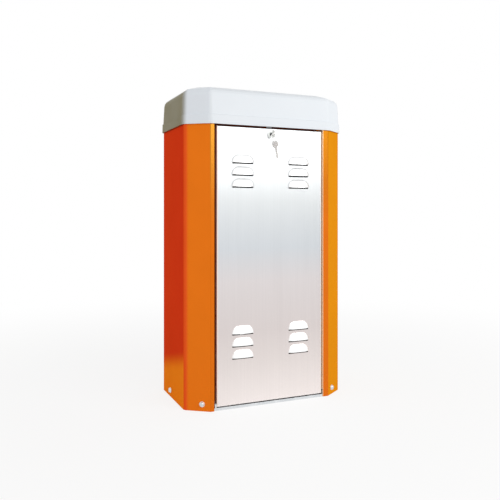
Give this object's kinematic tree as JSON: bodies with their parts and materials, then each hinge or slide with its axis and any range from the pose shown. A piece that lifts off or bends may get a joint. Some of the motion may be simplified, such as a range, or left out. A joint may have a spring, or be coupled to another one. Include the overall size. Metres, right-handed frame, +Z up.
{
  "type": "sliding gate motor",
  "caption": "Floor-standing sliding gate operator: folded steel cabinet with a louvred lockable door, moulded hood, worm gearmotor and rear rack pinion on a slotted base plate.",
  "frame": {"origin": "centre of the four anchor slots, on the underside of the base plate", "axes": "+Z up, along the cabinet's height; the door faces -Y; the rack pinion is at +Y; +X is to the right seen from the door"},
  "size_m": [0.548, 0.3583, 0.972],
  "materials": {
    "orange_paint": "gloss powder coat",
    "hood_plastic": "satin moulded",
    "stainless": "fine brushed",
    "zinc_plate": "bright zinc plated",
    "chrome": "polished",
    "nickel": "nickel plated",
    "cast_alloy": "as cast",
    "motor_paint": "satin paint",
    "machined_steel": "machined",
    "bronze": "machined",
    "copper_wire": "enamelled",
    "black_rubber": "matt",
    "black_plastic": "satin",
    "red_plastic": "gloss",
    "grey_plastic": "satin",
    "green_board": "solder mask",
    "green_terminal": "satin",
    "blue_sleeve": "gloss"
  },
  "bodies": {
    "cabinet": {"base_plate": "zinc_plate", "cable_grommet": "black_rubber", "shell_lugs": "zinc_plate", "left_panel": "orange_paint", "right_panel": "orange_paint", "back_panel": "orange_paint", "top_frame": "orange_paint", "lock_keeper": "zinc_plate", "door_seal": "black_rubber", "door_pivot_brackets": "zinc_plate", "shell_screws": "zinc_plate", "hood": "hood_plastic", "panel_screws": "zinc_plate", "gearbox_housing": "cast_alloy", "gearbox_cover": "cast_alloy", "gearmotor_bolts": "zinc_plate", "ball_bearings": "machined_steel", "shaft_seals": "black_rubber", "motor_housing": "motor_paint", "motor_end_shield": "cast_alloy", "stator": "copper_wire", "fan_cowl": "motor_paint", "terminal_box": "black_plastic", "terminal_box_lid": "black_plastic", "oil_plug": "zinc_plate", "limit_switch": "black_plastic", "control_plate": "zinc_plate", "control_case": "grey_plastic", "control_lid": "grey_plastic", "control_lid_screws": "black_plastic", "circuit_board": "green_board", "transformer": "blue_sleeve", "relays": "black_plastic", "terminal_blocks": "green_terminal", "board_capacitors": "blue_sleeve", "isolator_body": "grey_plastic", "motor_capacitor": "grey_plastic", "cable_glands": "black_plastic"},
    "door": {"door": "stainless", "door_stiffeners": "stainless", "door_pivot_pins": "machined_steel", "lock_body": "chrome", "lock_nut": "nickel"},
    "lock_core": {"lock_plug": "chrome", "lock_cam": "zinc_plate", "key": "nickel"},
    "ring": {"key_ring": "nickel"},
    "spare": {"spare_key": "nickel"},
    "output": {"output_shaft": "machined_steel", "worm_wheel": "bronze", "pinion": "machined_steel", "pinion_fastening": "zinc_plate"},
    "rotor": {"worm_shaft": "machined_steel", "rotor_core": "machined_steel", "cooling_fan": "black_plastic"},
    "release": {"release_lever": "machined_steel", "release_grip": "red_plastic"},
    "feeler": {"limit_feeler": "machined_steel"},
    "isolator": {"isolator_knob": "red_plastic"}
  },
  "joints": [
    {"name": "door_tilt", "type": "hinge", "parent": "cabinet", "child": "door", "pos_m": [0, -0.132, 0.0136], "axis": [1, 0, 0], "range_deg": [0, 80]},
    {"name": "lock_turn", "type": "hinge", "parent": "door", "child": "lock_core", "pos_m": [0, -0.134, 0.8315], "axis": [0, 1, 0], "range_deg": [0, 90]},
    {"name": "key_ring_swing", "type": "hinge", "parent": "lock_core", "child": "ring", "pos_m": [0, -0.159, 0.8315], "axis": [0, 1, 0], "range_deg": [-25, 25]},
    {"name": "spare_key_swing", "type": "hinge", "parent": "ring", "child": "spare", "pos_m": [0, -0.159, 0.8075], "axis": [0.8897, 0.4226, 0.1729], "range_deg": [-20, 20]},
    {"name": "rotor_spin", "type": "hinge", "parent": "cabinet", "child": "rotor", "pos_m": [0.063, 0.062, 0.2], "axis": [0, 0, 1], "continuous": true},
    {"name": "output_spin", "type": "hinge", "parent": "cabinet", "child": "output", "pos_m": [0, 0.062, 0.11], "axis": [0, 1, 0], "continuous": true},
    {"name": "release_turn", "type": "hinge", "parent": "cabinet", "child": "release", "pos_m": [0, 0, 0.11], "axis": [0, 1, 0], "range_deg": [0, 90]},
    {"name": "feeler_swing", "type": "hinge", "parent": "cabinet", "child": "feeler", "pos_m": [-0.04, 0.11, 0.201], "axis": [0, 0, 1], "range_deg": [-25, 25], "stiffness_Nm_per_rad": 0.3},
    {"name": "isolator_turn", "type": "hinge", "parent": "cabinet", "child": "isolator", "pos_m": [0.203, -0.03, 0.69], "axis": [0, 1, 0], "range_deg": [0, 90]}
  ],
  "couplings": [
    {"joint": "output_spin", "follows": "rotor_spin", "ratio": 0.033333}
  ]
}
